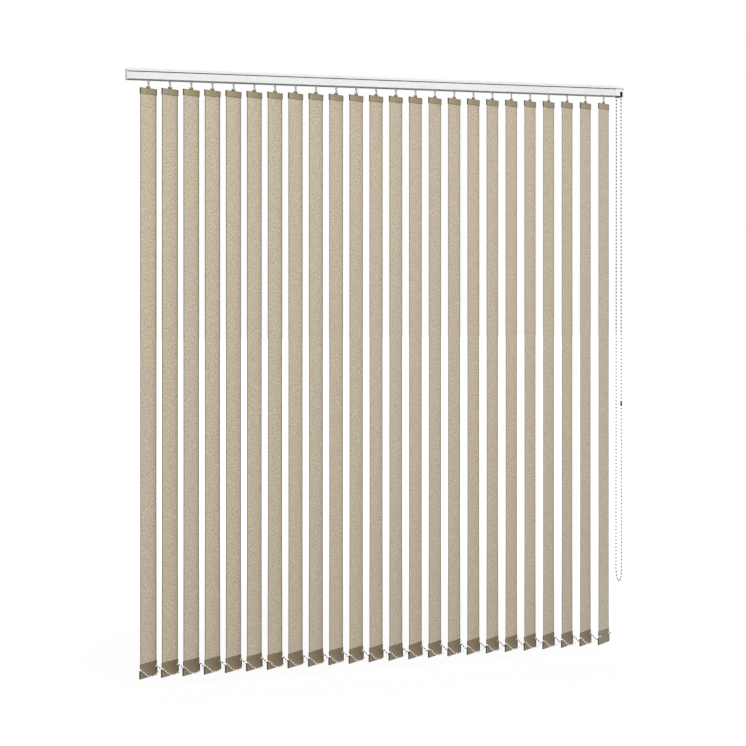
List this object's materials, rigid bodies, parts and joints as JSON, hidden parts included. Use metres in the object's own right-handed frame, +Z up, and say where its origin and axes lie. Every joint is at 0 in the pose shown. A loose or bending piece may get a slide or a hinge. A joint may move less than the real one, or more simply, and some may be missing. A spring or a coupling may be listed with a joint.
{
  "type": "vertical blind",
  "caption": "Vertical blind: ceiling rail with sliding carriers, tilting fabric vanes on hooks, bottom weights joined by bead chains, and a bead control chain.",
  "frame": {"origin": "middle of the rail's length, on the line of the vane pivots, in the plane of the ceiling that the rail's top lies against", "axes": "+X along the rail to the control end, +Z up, the front faces -Y"},
  "size_m": [2, 0.0564, 2.2477],
  "materials": {
    "headrail": "white powder coat",
    "moulding": "smooth white",
    "clip": "smooth white",
    "rod": "mill finish",
    "carrier": "smooth white",
    "chain": "smooth white",
    "vane": "woven cloth in beige"
  },
  "bodies": {
    "rail": {"headrail": "headrail", "end_cap_left": "moulding", "control_housing": "moulding", "mounting_clips": "clip", "truck_24": "carrier", "control_chain": "chain", "chain_joiner": "chain"},
    "drive": {"tilt_rod": "rod", "chain_sprocket": "moulding"},
    "truck_01": {"truck_01": "carrier"},
    "truck_02": {"truck_02": "carrier"},
    "truck_03": {"truck_03": "carrier"},
    "truck_04": {"truck_04": "carrier"},
    "truck_05": {"truck_05": "carrier"},
    "truck_06": {"truck_06": "carrier"},
    "truck_07": {"truck_07": "carrier"},
    "truck_08": {"truck_08": "carrier"},
    "truck_09": {"truck_09": "carrier"},
    "truck_10": {"truck_10": "carrier"},
    "truck_11": {"truck_11": "carrier"},
    "truck_12": {"truck_12": "carrier"},
    "truck_13": {"truck_13": "carrier"},
    "truck_14": {"truck_14": "carrier"},
    "truck_15": {"truck_15": "carrier"},
    "truck_16": {"truck_16": "carrier"},
    "truck_17": {"truck_17": "carrier"},
    "truck_18": {"truck_18": "carrier"},
    "truck_19": {"truck_19": "carrier"},
    "truck_20": {"truck_20": "carrier"},
    "truck_21": {"truck_21": "carrier"},
    "truck_22": {"truck_22": "carrier"},
    "truck_23": {"truck_23": "carrier"},
    "vane_01": {"vane_01": "vane"},
    "vane_02": {"vane_02": "vane"},
    "vane_03": {"vane_03": "vane"},
    "vane_04": {"vane_04": "vane"},
    "vane_05": {"vane_05": "vane"},
    "vane_06": {"vane_06": "vane"},
    "vane_07": {"vane_07": "vane"},
    "vane_08": {"vane_08": "vane"},
    "vane_09": {"vane_09": "vane"},
    "vane_10": {"vane_10": "vane"},
    "vane_11": {"vane_11": "vane"},
    "vane_12": {"vane_12": "vane"},
    "vane_13": {"vane_13": "vane"},
    "vane_14": {"vane_14": "vane"},
    "vane_15": {"vane_15": "vane"},
    "vane_16": {"vane_16": "vane"},
    "vane_17": {"vane_17": "vane"},
    "vane_18": {"vane_18": "vane"},
    "vane_19": {"vane_19": "vane"},
    "vane_20": {"vane_20": "vane"},
    "vane_21": {"vane_21": "vane"},
    "vane_22": {"vane_22": "vane"},
    "vane_23": {"vane_23": "vane"},
    "vane_24": {"vane_24": "vane"},
    "bottom_chain_front": {"bottom_chain_front": "chain"},
    "bottom_chain_rear": {"bottom_chain_rear": "chain"}
  },
  "joints": [
    {"name": "truck_01_slide", "type": "slide", "parent": "rail", "child": "truck_01", "axis": [1, 0, 0], "range_m": [0, 1.472], "deforming": ["bottom_chain_front", "bottom_chain_rear"]},
    {"name": "truck_02_slide", "type": "slide", "parent": "rail", "child": "truck_02", "axis": [1, 0, 0], "range_m": [0, 1.4085]},
    {"name": "truck_03_slide", "type": "slide", "parent": "rail", "child": "truck_03", "axis": [1, 0, 0], "range_m": [0, 1.3445]},
    {"name": "truck_04_slide", "type": "slide", "parent": "rail", "child": "truck_04", "axis": [1, 0, 0], "range_m": [0, 1.2805]},
    {"name": "truck_05_slide", "type": "slide", "parent": "rail", "child": "truck_05", "axis": [1, 0, 0], "range_m": [0, 1.2165]},
    {"name": "truck_06_slide", "type": "slide", "parent": "rail", "child": "truck_06", "axis": [1, 0, 0], "range_m": [0, 1.1525]},
    {"name": "truck_07_slide", "type": "slide", "parent": "rail", "child": "truck_07", "axis": [1, 0, 0], "range_m": [0, 1.0885]},
    {"name": "truck_08_slide", "type": "slide", "parent": "rail", "child": "truck_08", "axis": [1, 0, 0], "range_m": [0, 1.0245]},
    {"name": "truck_09_slide", "type": "slide", "parent": "rail", "child": "truck_09", "axis": [1, 0, 0], "range_m": [0, 0.9605]},
    {"name": "truck_10_slide", "type": "slide", "parent": "rail", "child": "truck_10", "axis": [1, 0, 0], "range_m": [0, 0.8965]},
    {"name": "truck_11_slide", "type": "slide", "parent": "rail", "child": "truck_11", "axis": [1, 0, 0], "range_m": [0, 0.8325]},
    {"name": "truck_12_slide", "type": "slide", "parent": "rail", "child": "truck_12", "axis": [1, 0, 0], "range_m": [0, 0.7685]},
    {"name": "truck_13_slide", "type": "slide", "parent": "rail", "child": "truck_13", "axis": [1, 0, 0], "range_m": [0, 0.7045]},
    {"name": "truck_14_slide", "type": "slide", "parent": "rail", "child": "truck_14", "axis": [1, 0, 0], "range_m": [0, 0.6405]},
    {"name": "truck_15_slide", "type": "slide", "parent": "rail", "child": "truck_15", "axis": [1, 0, 0], "range_m": [0, 0.5765]},
    {"name": "truck_16_slide", "type": "slide", "parent": "rail", "child": "truck_16", "axis": [1, 0, 0], "range_m": [0, 0.5125]},
    {"name": "truck_17_slide", "type": "slide", "parent": "rail", "child": "truck_17", "axis": [1, 0, 0], "range_m": [0, 0.4485]},
    {"name": "truck_18_slide", "type": "slide", "parent": "rail", "child": "truck_18", "axis": [1, 0, 0], "range_m": [0, 0.3845]},
    {"name": "truck_19_slide", "type": "slide", "parent": "rail", "child": "truck_19", "axis": [1, 0, 0], "range_m": [0, 0.3205]},
    {"name": "truck_20_slide", "type": "slide", "parent": "rail", "child": "truck_20", "axis": [1, 0, 0], "range_m": [0, 0.2565]},
    {"name": "truck_21_slide", "type": "slide", "parent": "rail", "child": "truck_21", "axis": [1, 0, 0], "range_m": [0, 0.1925]},
    {"name": "truck_22_slide", "type": "slide", "parent": "rail", "child": "truck_22", "axis": [1, 0, 0], "range_m": [0, 0.1285]},
    {"name": "truck_23_slide", "type": "slide", "parent": "rail", "child": "truck_23", "axis": [1, 0, 0], "range_m": [0, 0.0645]},
    {"name": "vane_01_tilt", "type": "hinge", "parent": "truck_01", "child": "vane_01", "pos_m": [-0.918, 0, -0.04], "axis": [0, 0, 1], "range_deg": [-22.2, 130.8]},
    {"name": "vane_02_tilt", "type": "hinge", "parent": "truck_02", "child": "vane_02", "pos_m": [-0.838, 0, -0.04], "axis": [0, 0, 1], "range_deg": [-22.2, 130.8]},
    {"name": "vane_03_tilt", "type": "hinge", "parent": "truck_03", "child": "vane_03", "pos_m": [-0.758, 0, -0.04], "axis": [0, 0, 1], "range_deg": [-22.2, 130.8]},
    {"name": "vane_04_tilt", "type": "hinge", "parent": "truck_04", "child": "vane_04", "pos_m": [-0.678, 0, -0.04], "axis": [0, 0, 1], "range_deg": [-22.2, 130.8]},
    {"name": "vane_05_tilt", "type": "hinge", "parent": "truck_05", "child": "vane_05", "pos_m": [-0.598, 0, -0.04], "axis": [0, 0, 1], "range_deg": [-22.2, 130.8]},
    {"name": "vane_06_tilt", "type": "hinge", "parent": "truck_06", "child": "vane_06", "pos_m": [-0.518, 0, -0.04], "axis": [0, 0, 1], "range_deg": [-22.2, 130.8]},
    {"name": "vane_07_tilt", "type": "hinge", "parent": "truck_07", "child": "vane_07", "pos_m": [-0.438, 0, -0.04], "axis": [0, 0, 1], "range_deg": [-22.2, 130.8]},
    {"name": "vane_08_tilt", "type": "hinge", "parent": "truck_08", "child": "vane_08", "pos_m": [-0.358, 0, -0.04], "axis": [0, 0, 1], "range_deg": [-22.2, 130.8]},
    {"name": "vane_09_tilt", "type": "hinge", "parent": "truck_09", "child": "vane_09", "pos_m": [-0.278, 0, -0.04], "axis": [0, 0, 1], "range_deg": [-22.2, 130.8]},
    {"name": "vane_10_tilt", "type": "hinge", "parent": "truck_10", "child": "vane_10", "pos_m": [-0.198, 0, -0.04], "axis": [0, 0, 1], "range_deg": [-22.2, 130.8]},
    {"name": "vane_11_tilt", "type": "hinge", "parent": "truck_11", "child": "vane_11", "pos_m": [-0.118, 0, -0.04], "axis": [0, 0, 1], "range_deg": [-22.2, 130.8]},
    {"name": "vane_12_tilt", "type": "hinge", "parent": "truck_12", "child": "vane_12", "pos_m": [-0.038, 0, -0.04], "axis": [0, 0, 1], "range_deg": [-22.2, 130.8]},
    {"name": "vane_13_tilt", "type": "hinge", "parent": "truck_13", "child": "vane_13", "pos_m": [0.042, 0, -0.04], "axis": [0, 0, 1], "range_deg": [-22.2, 130.8]},
    {"name": "vane_14_tilt", "type": "hinge", "parent": "truck_14", "child": "vane_14", "pos_m": [0.122, 0, -0.04], "axis": [0, 0, 1], "range_deg": [-22.2, 130.8]},
    {"name": "vane_15_tilt", "type": "hinge", "parent": "truck_15", "child": "vane_15", "pos_m": [0.202, 0, -0.04], "axis": [0, 0, 1], "range_deg": [-22.2, 130.8]},
    {"name": "vane_16_tilt", "type": "hinge", "parent": "truck_16", "child": "vane_16", "pos_m": [0.282, 0, -0.04], "axis": [0, 0, 1], "range_deg": [-22.2, 130.8]},
    {"name": "vane_17_tilt", "type": "hinge", "parent": "truck_17", "child": "vane_17", "pos_m": [0.362, 0, -0.04], "axis": [0, 0, 1], "range_deg": [-22.2, 130.8]},
    {"name": "vane_18_tilt", "type": "hinge", "parent": "truck_18", "child": "vane_18", "pos_m": [0.442, 0, -0.04], "axis": [0, 0, 1], "range_deg": [-22.2, 130.8]},
    {"name": "vane_19_tilt", "type": "hinge", "parent": "truck_19", "child": "vane_19", "pos_m": [0.522, 0, -0.04], "axis": [0, 0, 1], "range_deg": [-22.2, 130.8]},
    {"name": "vane_20_tilt", "type": "hinge", "parent": "truck_20", "child": "vane_20", "pos_m": [0.602, 0, -0.04], "axis": [0, 0, 1], "range_deg": [-22.2, 130.8]},
    {"name": "vane_21_tilt", "type": "hinge", "parent": "truck_21", "child": "vane_21", "pos_m": [0.682, 0, -0.04], "axis": [0, 0, 1], "range_deg": [-22.2, 130.8]},
    {"name": "vane_22_tilt", "type": "hinge", "parent": "truck_22", "child": "vane_22", "pos_m": [0.762, 0, -0.04], "axis": [0, 0, 1], "range_deg": [-22.2, 130.8]},
    {"name": "vane_23_tilt", "type": "hinge", "parent": "truck_23", "child": "vane_23", "pos_m": [0.842, 0, -0.04], "axis": [0, 0, 1], "range_deg": [-22.2, 130.8]},
    {"name": "vane_24_tilt", "type": "hinge", "parent": "rail", "child": "vane_24", "pos_m": [0.922, 0, -0.04], "axis": [0, 0, 1], "range_deg": [-21.7, 130.3]},
    {"name": "bottom_chain_front_swing", "type": "hinge", "parent": "vane_24", "child": "bottom_chain_front", "pos_m": [0.88628, -0.02569, -2.2138], "axis": [0, 0, 1], "range_deg": [-130.8, 22.2]},
    {"name": "bottom_chain_rear_swing", "type": "hinge", "parent": "vane_24", "child": "bottom_chain_rear", "pos_m": [0.95772, 0.02569, -2.2138], "axis": [0, 0, 1], "range_deg": [-130.8, 22.2]},
    {"name": "drive_spin", "type": "hinge", "parent": "rail", "child": "drive", "pos_m": [0.9885, 0, -0.02], "axis": [1, 0, 0], "range_deg": [-180, 1050]}
  ],
  "couplings": [
    {"joint": "truck_02_slide", "follows": "truck_01_slide", "ratio": 0.95652},
    {"joint": "truck_03_slide", "follows": "truck_01_slide", "ratio": 0.91304},
    {"joint": "truck_04_slide", "follows": "truck_01_slide", "ratio": 0.86957},
    {"joint": "truck_05_slide", "follows": "truck_01_slide", "ratio": 0.82609},
    {"joint": "truck_06_slide", "follows": "truck_01_slide", "ratio": 0.78261},
    {"joint": "truck_07_slide", "follows": "truck_01_slide", "ratio": 0.73913},
    {"joint": "truck_08_slide", "follows": "truck_01_slide", "ratio": 0.69565},
    {"joint": "truck_09_slide", "follows": "truck_01_slide", "ratio": 0.65217},
    {"joint": "truck_10_slide", "follows": "truck_01_slide", "ratio": 0.6087},
    {"joint": "truck_11_slide", "follows": "truck_01_slide", "ratio": 0.56522},
    {"joint": "truck_12_slide", "follows": "truck_01_slide", "ratio": 0.52174},
    {"joint": "truck_13_slide", "follows": "truck_01_slide", "ratio": 0.47826},
    {"joint": "truck_14_slide", "follows": "truck_01_slide", "ratio": 0.43478},
    {"joint": "truck_15_slide", "follows": "truck_01_slide", "ratio": 0.3913},
    {"joint": "truck_16_slide", "follows": "truck_01_slide", "ratio": 0.34783},
    {"joint": "truck_17_slide", "follows": "truck_01_slide", "ratio": 0.30435},
    {"joint": "truck_18_slide", "follows": "truck_01_slide", "ratio": 0.26087},
    {"joint": "truck_19_slide", "follows": "truck_01_slide", "ratio": 0.21739},
    {"joint": "truck_20_slide", "follows": "truck_01_slide", "ratio": 0.17391},
    {"joint": "truck_21_slide", "follows": "truck_01_slide", "ratio": 0.13043},
    {"joint": "truck_22_slide", "follows": "truck_01_slide", "ratio": 0.086957},
    {"joint": "truck_23_slide", "follows": "truck_01_slide", "ratio": 0.043478},
    {"joint": "vane_01_tilt", "follows": "vane_24_tilt", "ratio": 1},
    {"joint": "vane_02_tilt", "follows": "vane_24_tilt", "ratio": 1},
    {"joint": "vane_03_tilt", "follows": "vane_24_tilt", "ratio": 1},
    {"joint": "vane_04_tilt", "follows": "vane_24_tilt", "ratio": 1},
    {"joint": "vane_05_tilt", "follows": "vane_24_tilt", "ratio": 1},
    {"joint": "vane_06_tilt", "follows": "vane_24_tilt", "ratio": 1},
    {"joint": "vane_07_tilt", "follows": "vane_24_tilt", "ratio": 1},
    {"joint": "vane_08_tilt", "follows": "vane_24_tilt", "ratio": 1},
    {"joint": "vane_09_tilt", "follows": "vane_24_tilt", "ratio": 1},
    {"joint": "vane_10_tilt", "follows": "vane_24_tilt", "ratio": 1},
    {"joint": "vane_11_tilt", "follows": "vane_24_tilt", "ratio": 1},
    {"joint": "vane_12_tilt", "follows": "vane_24_tilt", "ratio": 1},
    {"joint": "vane_13_tilt", "follows": "vane_24_tilt", "ratio": 1},
    {"joint": "vane_14_tilt", "follows": "vane_24_tilt", "ratio": 1},
    {"joint": "vane_15_tilt", "follows": "vane_24_tilt", "ratio": 1},
    {"joint": "vane_16_tilt", "follows": "vane_24_tilt", "ratio": 1},
    {"joint": "vane_17_tilt", "follows": "vane_24_tilt", "ratio": 1},
    {"joint": "vane_18_tilt", "follows": "vane_24_tilt", "ratio": 1},
    {"joint": "vane_19_tilt", "follows": "vane_24_tilt", "ratio": 1},
    {"joint": "vane_20_tilt", "follows": "vane_24_tilt", "ratio": 1},
    {"joint": "vane_21_tilt", "follows": "vane_24_tilt", "ratio": 1},
    {"joint": "vane_22_tilt", "follows": "vane_24_tilt", "ratio": 1},
    {"joint": "vane_23_tilt", "follows": "vane_24_tilt", "ratio": 1},
    {"joint": "bottom_chain_front_swing", "follows": "vane_24_tilt", "ratio": -1},
    {"joint": "bottom_chain_rear_swing", "follows": "vane_24_tilt", "ratio": -1},
    {"joint": "drive_spin", "follows": "vane_24_tilt", "ratio": 8}
  ]
}
